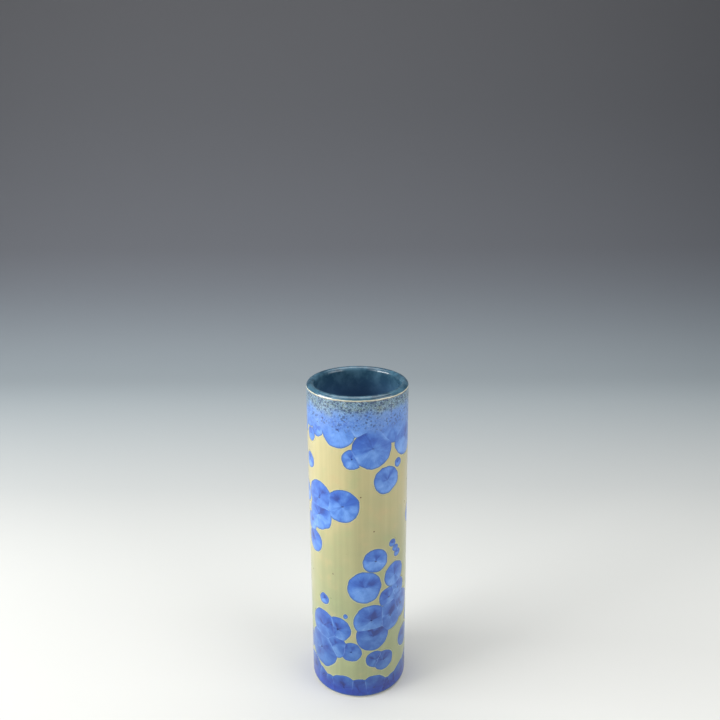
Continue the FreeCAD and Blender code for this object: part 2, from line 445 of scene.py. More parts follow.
def seedsObject(name, chosen):
    points = [wallPoint(s["around"], s["height"]) for s in chosen]
    fields = {key: [s[key] for s in chosen] for key in ("around", "height", "reach", "number")}
    return pointsObject(name, points, **fields)


def named(tree, name, kind="FLOAT"):
    return add(tree, "GeometryNodeInputNamedAttribute", {"Name": name}, data_type=kind).outputs[0]


def store(tree, geometry, name, value, kind="FLOAT"):
    return onMesh(tree, "GeometryNodeStoreNamedAttribute", geometry,
                  {"Name": name, "Value": value}, data_type=kind, domain="POINT")


def buildUnitDisc():
    # a closed unit disc: spokes by rings on top, a rim below it and a centre under that
    tree, given, out = newGroup("unitDisc", "GeometryNodeTree", [
        ("Spokes", wholeKind, 24), ("Rings", wholeKind, 3),
    ], [("Mesh", shapeKind)])
    grid, row, turn = bentSheet(tree, given["Spokes"], plus(tree, given["Rings"], 3))
    isTop = calc(tree, "LESS_THAN", row, plus(tree, given["Rings"], 0.5))
    isEnd = calc(tree, "GREATER_THAN", row, plus(tree, given["Rings"], 1.5))
    share = calc(tree, "MINIMUM", over(tree, row, given["Rings"]), 1.0)
    share = times(tree, share, minus(tree, 1.0, isEnd))
    place = joined(tree, times(tree, share, calc(tree, "COSINE", turn)),
                   times(tree, share, calc(tree, "SINE", turn)), minus(tree, isTop, 1.0))
    closed = onMesh(tree, "GeometryNodeMergeByDistance", moved(tree, grid, place),
                    {"Distance": 0.0001})
    where = add(tree, "GeometryNodeInputPosition").outputs[0]
    feed(tree, out["Mesh"], store(tree, closed, "local", where, "FLOAT_VECTOR"))
    return tree


def buildOnTheWall():
    # where a point of the unrolled wall is, once the running glaze has dragged it a little;
    # below the foot's rounded edge it follows the edge
    tree, given, out = newGroup("onTheWall", "GeometryNodeTree", [
        ("Around", floatKind), ("Height", floatKind), ("Proud", floatKind),
    ], [("Position", vectorKind)])
    still = joined(tree, calc(tree, "SINE", given["Around"]), calc(tree, "COSINE", given["Around"]),
                   over(tree, given["Height"], wall["outer"]))
    dragged = noise(tree, still, wall["outer"] / crystal["drag"], 1.5, output="Color")
    free = spread(tree, given["Height"], *crystal["dragFrom"], 0, 2 * crystal["dragDepth"])
    drag = parts(tree, scaled(tree, calcVector(tree, "SUBTRACT", dragged, (0.5, 0.5, 0.5)), free))
    around = plus(tree, given["Around"], over(tree, drag[0], wall["outer"]))
    height = plus(tree, given["Height"], drag[1])
    below = calc(tree, "MAXIMUM", minus(tree, wall["footRound"], height), 0.0)
    bend = over(tree, below, wall["footRound"])
    arm = plus(tree, wall["footRound"], given["Proud"])
    z = minus(tree, calc(tree, "MAXIMUM", height, wall["footRound"]),
              times(tree, arm, calc(tree, "SINE", bend)))
    outward = times(tree, arm, calc(tree, "COSINE", bend))
    radius = plus(tree, wall["outer"] - wall["footRound"], outward)
    radius = plus(tree, radius, useGroup(tree, wheelWander, Around=around, Height=z)[0])
    feed(tree, out["Position"], aboutAxis(tree, radius, around, z))
    return tree


def buildMeeting():
    # for one other seed: how far off its front is met along a direction, and the plane's place
    tree, given, out = newGroup("frontMeeting", "GeometryNodeTree", [
        ("Seeds", shapeKind), ("Index", wholeKind, 0), ("Margin", floatKind),
    ], [("Near", floatKind), ("Plane", floatKind), ("Way", vectorKind)])

    def other(name):
        return add(tree, "GeometryNodeSampleIndex", {
            "Geometry": given["Seeds"], "Value": named(tree, name), "Index": given["Index"],
        }, data_type="FLOAT").outputs[0]

    turn = minus(tree, other("around"), named(tree, "around"))
    east = times(tree, calc(tree, "WRAP", turn, math.pi, -math.pi), wall["outer"])
    up = minus(tree, other("height"), named(tree, "height"))
    gapWay = joined(tree, east, up, 0.0)
    gap = calc(tree, "MAXIMUM", calcVector(tree, "LENGTH", gapWay), 0.01 * mm)
    mine = plus(tree, named(tree, "reach"), given["Margin"])
    theirs = plus(tree, other("reach"), given["Margin"])
    square = [times(tree, v, v) for v in (gap, mine, theirs)]
    power = minus(tree, plus(tree, square[0], square[1]), square[2])
    touches = calc(tree, "LESS_THAN", gap, plus(tree, mine, theirs))
    notSelf = calc(tree, "GREATER_THAN", gap, 0.1 * mm)
    feed(tree, out["Near"], times(tree, touches, notSelf))
    feed(tree, out["Plane"], over(tree, power, times(tree, gap, 2.0)))
    feed(tree, out["Way"], calcVector(tree, "NORMALIZE", gapWay))
    return tree


unitDisc = buildUnitDisc()
onTheWall = buildOnTheWall()
frontMeeting = buildMeeting()
farOff = 1.0


def repeatOver(tree, geometry, count, body):
    # runs body(tree, geometry, index) once for each seed
    start = add(tree, "GeometryNodeRepeatInput")
    end = add(tree, "GeometryNodeRepeatOutput")
    start.pair_with_output(end)
    end.repeat_items.new("INT", "Index")
    feed(tree, start.inputs["Iterations"], count)
    feed(tree, start.inputs["Geometry"], geometry)
    feed(tree, start.inputs["Index"], 0)
    feed(tree, end.inputs["Geometry"], body(start.outputs["Geometry"], start.outputs["Index"]))
    feed(tree, end.inputs["Index"], plus(tree, start.outputs["Index"], 1))
    return end.outputs["Geometry"]


def plantDiscs(tree, given, rings):
    # a disc on every seed; for its points, the place on the disc, the way out from the seed,
    # and whether they are underneath
    disc = useGroup(tree, unitDisc, Spokes=given["Spokes"], Rings=rings)[0]
    planted = add(tree, "GeometryNodeInstanceOnPoints", {
        "Points": given["Seeds"], "Instance": disc,
    }).outputs[0]
    real = onMesh(tree, "GeometryNodeRealizeInstances", planted)
    local = named(tree, "local", "FLOAT_VECTOR")
    flat = calcVector(tree, "MULTIPLY", local, (1, 1, 0))
    under = times(tree, parts(tree, local)[2], -1)
    return real, flat, calcVector(tree, "NORMALIZE", flat), under


def ownNoise(tree, way, tightness, seed, detail):
    # noise round a seed, different for each one, about zero
    own = joined(tree, 0.0, 0.0, times(tree, named(tree, "number"), seed))
    return swing(tree, calcVector(tree, "ADD", scaled(tree, way, tightness), own), 1.0, detail, 1.0)


def layOnWall(tree, given, output, geometry, east, up, top, under):
    # puts the points at a distance from their seeds, with the top proud and the underside sunk
    proud = minus(tree, top, times(tree, under, plus(tree, given["Sunk"], given["Skin"])))
    around = plus(tree, named(tree, "around"), over(tree, east, wall["outer"]))
    height = plus(tree, named(tree, "height"), up)
    place = useGroup(tree, onTheWall, Around=around, Height=height, Proud=proud)[0]
    finishMesh(tree, moved(tree, geometry, place), given["Material"], output, 0.0001 * mm, 0.9)


def buildGrowCrystals():
    # grows a disc from each seed until it meets an outline, a limit or another seed's front
    tree, given, out = newGroup("growCrystals", "GeometryNodeTree", [
        ("Seeds", shapeKind), ("All Seeds", "NodeSocketObject"),
        ("Spokes", wholeKind, 96), ("Rings", wholeKind, 8), ("Margin", floatKind),
        ("Lobes", floatKind), ("Skin", floatKind), ("Sunk", floatKind),
        ("Top", floatKind, 1.0), ("Bottom", floatKind), ("Material", materialKind),
    ], [("Mesh", shapeKind)])
    source = add(tree, "GeometryNodeObjectInfo", {"Object": given["All Seeds"]})
    everySeed = source.outputs["Geometry"]
    count = add(tree, "GeometryNodeAttributeDomainSize", {0: everySeed}).outputs["Point Count"]
    real, flat, way, under = plantDiscs(tree, given, given["Rings"])
    lobe = times(tree, ownNoise(tree, way, 1.35, 3.17, 2.0), 2.0, given["Lobes"])
    grown = times(tree, named(tree, "reach"), plus(tree, 1.0, lobe))
    up = parts(tree, way)[1]
    tiny = 0.0001
    toTop = over(tree, minus(tree, given["Top"], named(tree, "height")),
                 calc(tree, "MAXIMUM", up, tiny))
    toBottom = over(tree, minus(tree, named(tree, "height"), given["Bottom"]),
                    calc(tree, "MAXIMUM", times(tree, up, -1), tiny))
    limit = calc(tree, "MINIMUM", plus(tree, grown, given["Margin"]),
                 calc(tree, "MINIMUM", toTop, toBottom))

    def lowerTo(geometry, name, value, counts):
        # keeps the smaller of a stored distance and a new one, where the new one counts
        ignored = times(tree, minus(tree, 1.0, counts), farOff)
        lower = calc(tree, "MINIMUM", named(tree, name), plus(tree, value, ignored))
        return store(tree, geometry, name, lower)

    def frontOf(index):
        return useGroup(tree, frontMeeting, Seeds=everySeed, Index=index, Margin=given["Margin"])

    def stopAtFront(geometry, index):
        front = frontOf(index)
        facing = calcVector(tree, "DOT_PRODUCT", way, front["Way"])
        counts = times(tree, front["Near"], calc(tree, "GREATER_THAN", facing, 0.001))
        met = over(tree, front["Plane"], calc(tree, "MAXIMUM", facing, 0.001))
        return lowerTo(geometry, "stop", met, counts)

    def clearOfFront(geometry, index):
        front = frontOf(index)
        along = calcVector(tree, "DOT_PRODUCT", named(tree, "there", "FLOAT_VECTOR"), front["Way"])
        return lowerTo(geometry, "clear", minus(tree, front["Plane"], along), front["Near"])

    stopped = repeatOver(tree, store(tree, real, "stop", limit), count, stopAtFront)
    share = calcVector(tree, "LENGTH", flat)
    there = scaled(tree, way, times(tree, share, named(tree, "stop")))
    stopped = store(tree, stopped, "there", there, "FLOAT_VECTOR")
    measured = repeatOver(tree, store(tree, stopped, "clear", farOff), count, clearOfFront)
    there = named(tree, "there", "FLOAT_VECTOR")
    spot = parts(tree, there)
    edge = minus(tree, grown, calcVector(tree, "LENGTH", there))

    # what the material reads, in millimetres
    east, north, edge, clear, reach = (times(tree, value, 1 / mm) for value in (
        spot[0], spot[1], edge, named(tree, "clear"), named(tree, "reach")))
    fan = joined(tree, east, north, named(tree, "number"))
    fronts = joined(tree, edge, clear, reach)
    marked = store(tree, measured, "fan", fan, "FLOAT_VECTOR")
    marked = store(tree, marked, "fronts", fronts, "FLOAT_VECTOR")
    layOnWall(tree, given, out["Mesh"], marked, spot[0], spot[1], given["Skin"], under)
    return tree


def buildLetInDots():
    # small uneven discs on points of the wall, for the cores and the iron specks
    tree, given, out = newGroup("letInDots", "GeometryNodeTree", [
        ("Seeds", shapeKind), ("Size", floatKind, 1.0), ("Spokes", wholeKind, 20),
        ("Uneven", floatKind, 0.3), ("Vary", floatKind), ("Tall", floatKind, 1.0),
        ("Skin", floatKind), ("Sunk", floatKind), ("Material", materialKind),
    ], [("Mesh", shapeKind)])
    real, flat, way, under = plantDiscs(tree, given, 3)
    ragged = times(tree, ownNoise(tree, way, 1.6, 1.73, 3.0), times(tree, given["Uneven"], 4))
    luck = add(tree, "FunctionNodeRandomValue", {
        "Min": -1.0, "Max": 1.0, "ID": named(tree, "number"), "Seed": 7,
    }, data_type="FLOAT").outputs["Value"]
    size = times(tree, plus(tree, 1.0, times(tree, luck, given["Vary"])), given["Size"])
    reach = times(tree, named(tree, "reach"), size,
                  calc(tree, "MAXIMUM", plus(tree, 1.0, ragged), 0.25))
    spot = parts(tree, scaled(tree, flat, reach))
    share = calcVector(tree, "LENGTH", flat)
    dome = minus(tree, 1.0, times(tree, share, share, 0.6))
    layOnWall(tree, given, out["Mesh"], real, spot[0], times(tree, spot[1], given["Tall"]),
              times(tree, given["Skin"], dome), under)
    return tree


growCrystals = buildGrowCrystals()
letInDots = buildLetInDots()
print("stage: trees built")


# finishes, as groups that the materials share
def buildWallPlace():
    # millimetres on the vase, its height, and the angle round the lip from outwards, in degrees
    group, given, out = newGroup("wallPlace", "ShaderNodeTree", [], [
        ("Place", vectorKind), ("Height", floatKind), ("Lip Angle", floatKind),
    ])
    place = scaled(group, add(group, "ShaderNodeTexCoord").outputs["Object"], 1000)
    x, y, z = parts(group, place)
    radius = calcVector(group, "LENGTH", joined(group, x, y, 0.0))
    outward = minus(group, radius, wall["lipRadius"] / mm)
    upward = minus(group, z, wall["lipHeight"] / mm)
    angle = calc(group, "DEGREES", calc(group, "ARCTAN2", upward, outward))
    feed(group, out["Place"], place)
    feed(group, out["Height"], z)
    feed(group, out["Lip Angle"], calc(group, "WRAP", angle, 270, -90))
    return group


ground = {
    "high": paint(186, 176, 126),
    "low": paint(148, 156, 114),
    "fall": (40, 215),  # heights between which low turns into high; low is partly painted shade
    "warm": paint(192, 168, 122),
    "cool": paint(162, 172, 122),
    "tinting": 0.4,
    "blotches": 0.07,
    "run": paint(120, 112, 76),
    "wideRun": paint(150, 150, 110),
    "streaks": 0.42,
    "dust": paint(120, 96, 60),
}


def buildOliveGround():
    # cream to olive down the wall, the darker olive lower down partly the glaze's own colour and
    # partly painted shade, with fine runs, soft blotches and a little iron dust
    group, given, out = newGroup("oliveGround", "ShaderNodeTree", [
        ("Place", vectorKind), ("Height", floatKind),
    ], [("Color", colourKind)])
    place = given["Place"]
    drifted = plus(group, given["Height"], swing(group, place, 0.035, 2, 130))
    warmth = noise(group, place, ground["blotches"], 3, 0.6)
    drawn = calcVector(group, "MULTIPLY", place, (1, 1, 0.012))
    runs = noise(group, drawn, ground["streaks"], 4, 0.6)
    wide = noise(group, calcVector(group, "MULTIPLY", place, (1, 1, 0.02)), 0.09, 1)
    # darker lower down: partly the glaze's own colour, partly painted shade where the light falls
    # off
    colour = washed(group, ground["low"], ground["high"], drifted, *ground["fall"])
    colour = washed(group, colour, ground["warm"], warmth, 0.52, 0.78, ground["tinting"])
    colour = washed(group, colour, ground["cool"], warmth, 0.46, 0.25, ground["tinting"])
    colour = washed(group, colour, ground["run"], runs, 0.35, 0.7, 0.07, "MULTIPLY")
    colour = washed(group, colour, ground["wideRun"], wide, 0.4, 0.7, 0.09, "MULTIPLY")
    colour = washed(group, colour, ground["dust"], noise(group, place, 1.6, 1), 0.74, 0.82, 0.35)
    feed(group, out["Color"], colour)
    return group


mottle = {
    "top": paint(82, 110, 122),
    "middle": paint(98, 136, 184),
    "low": paint(76, 122, 196),
    "haze": paint(92, 138, 208),
    "dark": paint(28, 54, 96),
    "pale": paint(158, 192, 228),
    "olive": paint(116, 126, 98),
    "blueOver": (225.0, 230.0),  # heights between which each sets in
    "coverOver": (233.0, 245.5),
    "flecksOver": (220.0, 235.0),
    "crowdedOver": (234.0, 245.5),
    "ragged": 16.0,
    "fleckScale": 0.45,
    "warp": 1.6,
}


def buildMottledRim():
    # the second glaze: dense grey-green at the lip, breaking into flecks further down
    group, given, out = newGroup("mottledRim", "ShaderNodeTree", [
        ("Place", vectorKind), ("Height", floatKind),
    ], [("Color", colourKind), ("Cover", floatKind), ("Fleck", floatKind),
        ("Blue", colourKind), ("Bleed", floatKind)])
    place = given["Place"]
    ragged = swing(group, place, 0.09, 3, mottle["ragged"])
    height = plus(group, given["Height"], ragged)
    cloudy = noise(group, place, 0.13, 3, 0.6)
    feed(group, out["Blue"], washed(group, mottle["low"], mottle["haze"], cloudy, 0.35, 0.65))
    smoother = plus(group, given["Height"], times(group, ragged, 0.5))
    feed(group, out["Bleed"], spread(group, smoother, *mottle["blueOver"]))

    cover = spread(group, height, *mottle["coverOver"])
    colour = ramp(group, cover, [
        (0.0, mottle["low"]), (0.5, mottle["middle"]), (1.0, mottle["top"])])
    stain = spread(group, noise(group, place, 0.16, 3), 0.5, 0.7, 0, 0.45)
    colour = blend(group, times(group, stain, cover), colour, mottle["olive"])

    # dark flecks and pale squiggles, both on a warped place so that they look run
    warp = scaled(group, noise(group, place, 0.6, output="Color"), mottle["warp"])
    bent = calcVector(group, "ADD", place, warp)
    cells = add(group, "ShaderNodeTexVoronoi", {"Vector": bent, "Scale": mottle["fleckScale"]})
    dots = spread(group, cells.outputs["Distance"], 0.50, 0.28)
    squiggles = calc(group, "ABSOLUTE", minus(group, noise(group, bent, 0.7, 2), 0.5))
    amount = spread(group, height, *mottle["flecksOver"])
    some = spread(group, noise(group, place, 0.16, 1), 0.30, 0.48)
    some = calc(group, "MAXIMUM", some, spread(group, height, *mottle["crowdedOver"]))
    fleck = times(group, dots, amount, some)
    pale = times(group, spread(group, squiggles, 0.07, 0.0), amount, 0.6)
    colour = blend(group, pale, colour, mottle["pale"])
    colour = blend(group, times(group, fleck, 0.8), colour, mottle["dark"])
    marks = calc(group, "MAXIMUM", times(group, fleck, 0.85), pale)
    feed(group, out["Color"], colour)
    feed(group, out["Cover"], calc(group, "MAXIMUM", cover, marks))
    feed(group, out["Fleck"], fleck)
    return group


lipFinish = {
    # pale edge colour: partly thin glaze over the lip, partly painted highlight
    "paleEdgeAndHighlight": paint(212, 210, 184),
    "tan": paint(158, 136, 102),
    "liner": paint(74, 112, 132),
    "linerDeep": paint(38, 72, 92),
    "inside": paint(70, 106, 148),
    "pool": paint(30, 62, 110),
    "ivoryFrom": (2, 8),  # degrees round the lip, from outwards
    "ivoryTo": (14, 21),
    "tanFrom": (-9, -1),
    "shake": 18,
    "crownDepth": 30,
}


def buildLipBreak():
    # puts the pale edge, partly the glaze breaking thin and partly a painted highlight on the lip's
    # outer curve, and the inside glaze over whatever the wall is covered with
    group, given, out = newGroup("lipBreak", "ShaderNodeTree", [
        ("Under", colourKind), ("Place", vectorKind), ("Height", floatKind),
        ("Lip Angle", floatKind),
    ], [("Color", colourKind)])
    place = given["Place"]
    angle = plus(group, given["Lip Angle"], swing(group, place, 0.22, 3, lipFinish["shake"]))
    starts = spread(group, angle, *lipFinish["ivoryFrom"])
    ends = spread(group, angle, *lipFinish["ivoryTo"])
    clouds = noise(group, place, 0.11, 4, 0.6)
    top = wall["top"] / mm
    crown = washed(group, lipFinish["linerDeep"], lipFinish["liner"], clouds, 0.35, 0.68)
    deeper = washed(group, lipFinish["pool"], lipFinish["inside"], given["Height"], 8, 40)
    inside = washed(group, deeper, crown, given["Height"], top - lipFinish["crownDepth"], top)
    below = times(group, spread(group, angle, *lipFinish["tanFrom"]), minus(group, 1.0, starts))
    colour = blend(group, times(group, below, 0.55), given["Under"], lipFinish["tan"])
    # the pale edge: partly the glaze breaking thin, partly painted highlight where the lip's outer
    # curve faces the light
    thin = times(group, starts, minus(group, 1.0, ends))
    colour = blend(group, thin, colour, lipFinish["paleEdgeAndHighlight"])
    feed(group, out["Color"], blend(group, ends, colour, inside))
    return group


fanTones = {
    "night": paint(6, 52, 140),
    "deep": paint(34, 88, 182),
    "mid": paint(66, 119, 200),
    "pale": paint(98, 148, 220),
    "frost": paint(142, 182, 236),
    "outline": paint(46, 86, 120),
    "front": paint(140, 176, 230),
    "halo": paint(208, 212, 172),
    "lowTint": paint(158, 184, 196),
    "footTint": paint(92, 156, 240),
}
fanLook = {
    # how far each kind of streak lightens or darkens the tone
    # the sector and front terms are painted sheen; the lobes' lean to each crystal's top is painted
    # shade
    "sheenSectors": 0.05, "blades": 0.022, "needles": 0.036, "clouds": 0.13, "own": 0.05,
    "lobes": -0.30, "rays": 0.06, "frontSheen": 0.12, "spikes": 0.5,
    # how strongly a front shows, and widths and heights in millimetres
    "frontSeen": (0.05, 0.34), "frontWidth": 0.55, "ring": (2.3, 0.4), "outline": (1.0, 0.15),
    "meltWidth": 6.0, "lowOver": (130, 5), "footOver": (17, 5),
}


def buildCrystalFan():
    # fine needles from the seed, painted sheen in light and dark sectors and darker towards each
    # crystal's top, soft dark lobes partly painted shade, a dark outline, faint pale fronts
    group, given, out = newGroup("crystalFan", "ShaderNodeTree", [
        ("Fan", vectorKind), ("Fronts", vectorKind), ("Height", floatKind),
        ("Bleed", floatKind), ("Blue", colourKind),
    ], [("Color", colourKind), ("Cover", floatKind), ("Halo", floatKind), ("Relief", floatKind)])
    x, y, number = parts(group, given["Fan"])
    edge, meet, reach = parts(group, given["Fronts"])
    flat = joined(group, x, y, 0.0)
    radius = calcVector(group, "LENGTH", flat)
    way = calcVector(group, "NORMALIZE", flat)
    up = parts(group, way)[1]
    share = over(group, radius, calc(group, "MAXIMUM", reach, 1.0))
    clear = minus(group, 1.0, given["Bleed"])

    def fanNoise(tightness, inward, seed, detail):
        turned = joined(group, 0.0, 0.0, plus(group, times(group, number, seed),
                                              times(group, radius, inward)))
        turned = calcVector(group, "ADD", scaled(group, way, tightness), turned)
        return noise(group, turned, 1.0, detail)

    # painted sheen: light and dark sectors round the seed, for the needles catching the light at
    # different angles
    sheenSectors = fanNoise(1.0, 0.03, 5.31, 0)
    # dark lobes: partly the crystals' own dark patches, partly painted shade leaning to each
    # crystal's top
    lobes = plus(group, fanNoise(0.9, 0.05, 9.73, 1), times(group, up, 0.09))
    blades = fanNoise(4.4, 0.06, 2.17, 2)
    needles = fanNoise(19.0, 0.12, 1.37, 3)
    rays = calc(group, "ABSOLUTE", minus(group, fanNoise(2.2, 0.04, 4.13, 1), 0.5))
    own = add(group, "ShaderNodeTexWhiteNoise", {"W": number}, noise_dimensions="1D").outputs[0]
    clouds = noise(group, calcVector(group, "ADD", scaled(group, flat, 0.13), joined(
        group, 0.0, 0.0, times(group, number, 7.7))), 1.0, 2)

    # painted sheen and shade: every crystal lighter towards its bottom and darker towards its top,
    # as light from above catches the needles
    tone = spread(group, up, -0.9, 0.9, 0.58, 0.40)
    for source, low, high, depth in (
            (sheenSectors, 0.35, 0.65, "sheenSectors"), (blades, 0.3, 0.7, "blades"),
            (needles, 0.3, 0.7, "needles"), (clouds, 0.35, 0.65, "clouds"), (own, 0.0, 1.0, "own")):
        tone = plus(group, tone, spread(group, source, low, high, -fanLook[depth], fanLook[depth]))
    inner = spread(group, share, 1.0, 0.25)
    tone = plus(group, tone, times(
        group, spread(group, lobes, 0.46, 0.68, 0, fanLook["lobes"]), inner, clear))
    tone = plus(group, tone, times(
        group, spread(group, rays, 0.03, 0.0, 0, fanLook["rays"]), spread(group, share, 0.05, 0.4)))
    # painted sheen beside the fronts, lighter on one side and darker on the other
    frontSheen = spread(group, sheenSectors, 0.42, 0.58, -fanLook["frontSheen"], fanLook["frontSheen"])
    tone = plus(group, tone, times(group, spread(group, meet, 3.0, 0.3), frontSheen))
    colour = ramp(group, tone, [
        (0.0, fanTones["night"]), (0.20, fanTones["deep"]), (0.48, fanTones["mid"]),
        (0.74, fanTones["pale"]), (1.0, fanTones["frost"]),
    ])

    spikes = times(group, spread(group, share, 0.20, 0.04),
                   spread(group, blades, 0.50, 0.60, 0.0, fanLook["spikes"]))
    colour = blend(group, spikes, colour, fanTones["night"])
    colour = washed(group, colour, fanTones["lowTint"], given["Height"], *fanLook["lowOver"], 0.95,
                    "MULTIPLY")
    nearFoot = spread(group, given["Height"], *fanLook["footOver"])
    colour = blend(group, nearFoot, colour, fanTones["footTint"], "MULTIPLY")
    seen = times(group, spread(group, clouds, 0.40, 0.60, *fanLook["frontSeen"]),
                 minus(group, clear, times(group, nearFoot, 0.85)))
    front = times(group, spread(group, meet, fanLook["frontWidth"], 0.05), seen)
    colour = blend(group, front, colour, fanTones["front"])
    melted = spread(group, edge, fanLook["meltWidth"], 0.0, 0.35, 1.0)
    colour = blend(group, times(group, melted, given["Bleed"]), colour, given["Blue"])

    # the outline, ragged with the needles' tips, and none where the rim glaze melts it
    tips = times(group, minus(group, needles, 0.5), 0.8)
    melt = times(group, given["Bleed"], fanLook["meltWidth"])
    edge = plus(group, edge, plus(group, tips, melt))
    colour = washed(group, colour, fanTones["deep"], edge, *fanLook["ring"], 0.5)
    colour = washed(group, colour, fanTones["outline"], edge, *fanLook["outline"], 0.8)
    feed(group, out["Color"], colour)
    feed(group, out["Cover"], spread(group, edge, -0.08, 0.10))
    feed(group, out["Halo"], spread(group, edge, -1.1, -0.05))
    feed(group, out["Relief"], plus(group, needles, blades))
    return group


def buildGlazeSkin():
    # the glassy surface: orange peel, a few pinholes, and how rough it is
    group, given, out = newGroup("glazeSkin", "ShaderNodeTree", [
        ("Place", vectorKind), ("Rough", floatKind, 0.2), ("Uneven", floatKind, 0.06),
    ], [("Roughness", floatKind), ("Height", floatKind)])
    peel = noise(group, given["Place"], 0.35, 3, 0.55)
    holes = add(group, "ShaderNodeTexVoronoi", {"Vector": given["Place"], "Scale": 0.10})
    pin = spread(group, holes.outputs["Distance"], 0.035, 0.0)
    uneven = times(group, swing(group, given["Place"], 0.05, 3, 2.0), given["Uneven"])
    feed(group, out["Roughness"], plus(group, given["Rough"], uneven))
    feed(group, out["Height"], minus(group, times(group, peel, 0.8), pin))
    return group


wallPlace = buildWallPlace()
oliveGround = buildOliveGround()
mottledRim = buildMottledRim()
lipBreak = buildLipBreak()
crystalFan = buildCrystalFan()
glazeSkin = buildGlazeSkin()


finish = {
    # weight and roughness of the clear layer on top
    "clear": {"outer": (0.5, 0.06), "lip": (0.35, 0.04), "crystal": (0.45, 0.06)},
    "rough": {"outer": 0.30, "crystal": 0.27, "rim": 0.24, "edge": 0.20, "liner": 0.18},
    "wiped": (3.6, 1.4),  # heights between which the colour goes to its dark bottom line, partly the glaze's dark edge and partly painted shade where the foot turns under
    "halo": 0.3,
    "footLineShadeStrength": 0.7,
    "needleRelief": 0.35,
    "fleckPits": 0.6,
    "bump": 0.04 * mm,
    "bisqueBump": 0.06 * mm,
}


def newMaterial(name, coat=0.0, coatRough=0.05):
    material = bpy.data.materials.new(name)
    material.use_nodes = True
    tree = material.node_tree
    shader = next(n for n in tree.nodes if n.type == "BSDF_PRINCIPLED")
    shader.inputs["IOR"].default_value = 1.5
    shader.inputs["Coat Weight"].default_value = coat
    shader.inputs["Coat Roughness"].default_value = coatRough
    return material, tree, shader.inputs


def dress(tree, sockets, colour, roughness, height, bump=finish["bump"]):
    feed(tree, sockets["Base Color"], colour)
    feed(tree, sockets["Roughness"], roughness)
    raised = add(tree, "ShaderNodeBump", {"Height": height, "Strength": 1.0, "Distance": bump})
    feed(tree, sockets["Normal"], raised.outputs[0])


def onWall(tree, group, place, **inputs):
    return useGroup(tree, group, Place=place["Place"], Height=place["Height"], **inputs)


def wipedGround(tree, place):
    # the ground glaze, with the dark line that it ends in above the foot ring, partly the glaze's
    # dark edge and partly painted shade where the foot turns under
    wiped = spread(tree, place["Height"], *finish["wiped"])
    colour = onWall(tree, oliveGround, place)["Color"]
    return blend(tree, wiped, colour, fanTones["outline"]), wiped


def makeOuterCoat():
    material, tree, sockets = newMaterial("crystallineCoat", *finish["clear"]["outer"])
    place = useGroup(tree, wallPlace)
    rim = onWall(tree, mottledRim, place)
    colour = wipedGround(tree, place)[0]
    colour = blend(tree, rim["Bleed"], colour, rim["Blue"])
    colour = blend(tree, rim["Cover"], colour, rim["Color"])
    skin = useGroup(tree, glazeSkin, Place=place["Place"], Rough=finish["rough"]["outer"])
    dress(tree, sockets, colour, skin["Roughness"], skin["Height"])
    return material


def makeLipCoat(name, part):
    # the rim coat, the lip's edge and the liner run into each other, so they share one recipe
    material, tree, sockets = newMaterial(name, *finish["clear"]["lip"])
    place = useGroup(tree, wallPlace)
    rim = onWall(tree, mottledRim, place)
    band = blend(tree, rim["Cover"], rim["Blue"], rim["Color"])
    lip = onWall(tree, lipBreak, place, Under=band, Lip_Angle=place["Lip Angle"])
    skin = useGroup(tree, glazeSkin, Place=place["Place"], Rough=finish["rough"][part])
    height = minus(tree, skin["Height"], times(tree, rim["Fleck"], finish["fleckPits"]))
    dress(tree, sockets, lip["Color"], skin["Roughness"], height)
    return material


def makeCrystals():
    material, tree, sockets = newMaterial("zincSilicateFans", *finish["clear"]["crystal"])
    place = useGroup(tree, wallPlace)
    fan = add(tree, "ShaderNodeAttribute", attribute_name="fan").outputs["Vector"]
    fronts = add(tree, "ShaderNodeAttribute", attribute_name="fronts").outputs["Vector"]
    rim = onWall(tree, mottledRim, place)
    grown = useGroup(tree, crystalFan, Fan=fan, Fronts=fronts, Height=place["Height"],
                     Bleed=rim["Bleed"], Blue=rim["Blue"])
    under, wiped = wipedGround(tree, place)
    under = blend(tree, times(tree, grown["Halo"], finish["halo"]), under, fanTones["halo"])
    colour = blend(tree, grown["Cover"], under, grown["Color"])
    # painted shade, with the glaze's dark edge, along the foot's rounded edge where it turns under
    colour = blend(tree, times(tree, wiped, finish["footLineShadeStrength"]), colour, fanTones["outline"])
    colour = blend(tree, rim["Cover"], colour, rim["Color"])
    skin = useGroup(tree, glazeSkin, Place=place["Place"], Rough=finish["rough"]["crystal"])
    rough = plus(tree, skin["Roughness"], times(tree, grown["Cover"], 0.05))
    relief = times(tree, grown["Relief"], grown["Cover"], finish["needleRelief"])
    pits = times(tree, rim["Fleck"], finish["fleckPits"])
    dress(tree, sockets, colour, rough, minus(tree, plus(tree, skin["Height"], relief), pits))
    return material


def makeDots(name, dark, light, rough):
    material, tree, sockets = newMaterial(name, 0.3)
    place = useGroup(tree, wallPlace)
    grain = noise(tree, place["Place"], 3.0, 3)
    skin = useGroup(tree, glazeSkin, Place=place["Place"], Rough=rough)
    dress(tree, sockets, washed(tree, dark, light, grain, 0.35, 0.65), skin["Roughness"], grain)
    return material


bisque = {
    "light": paint(226, 219, 204),
    "dark": paint(206, 196, 176),
    "soiled": paint(170, 150, 120),
}


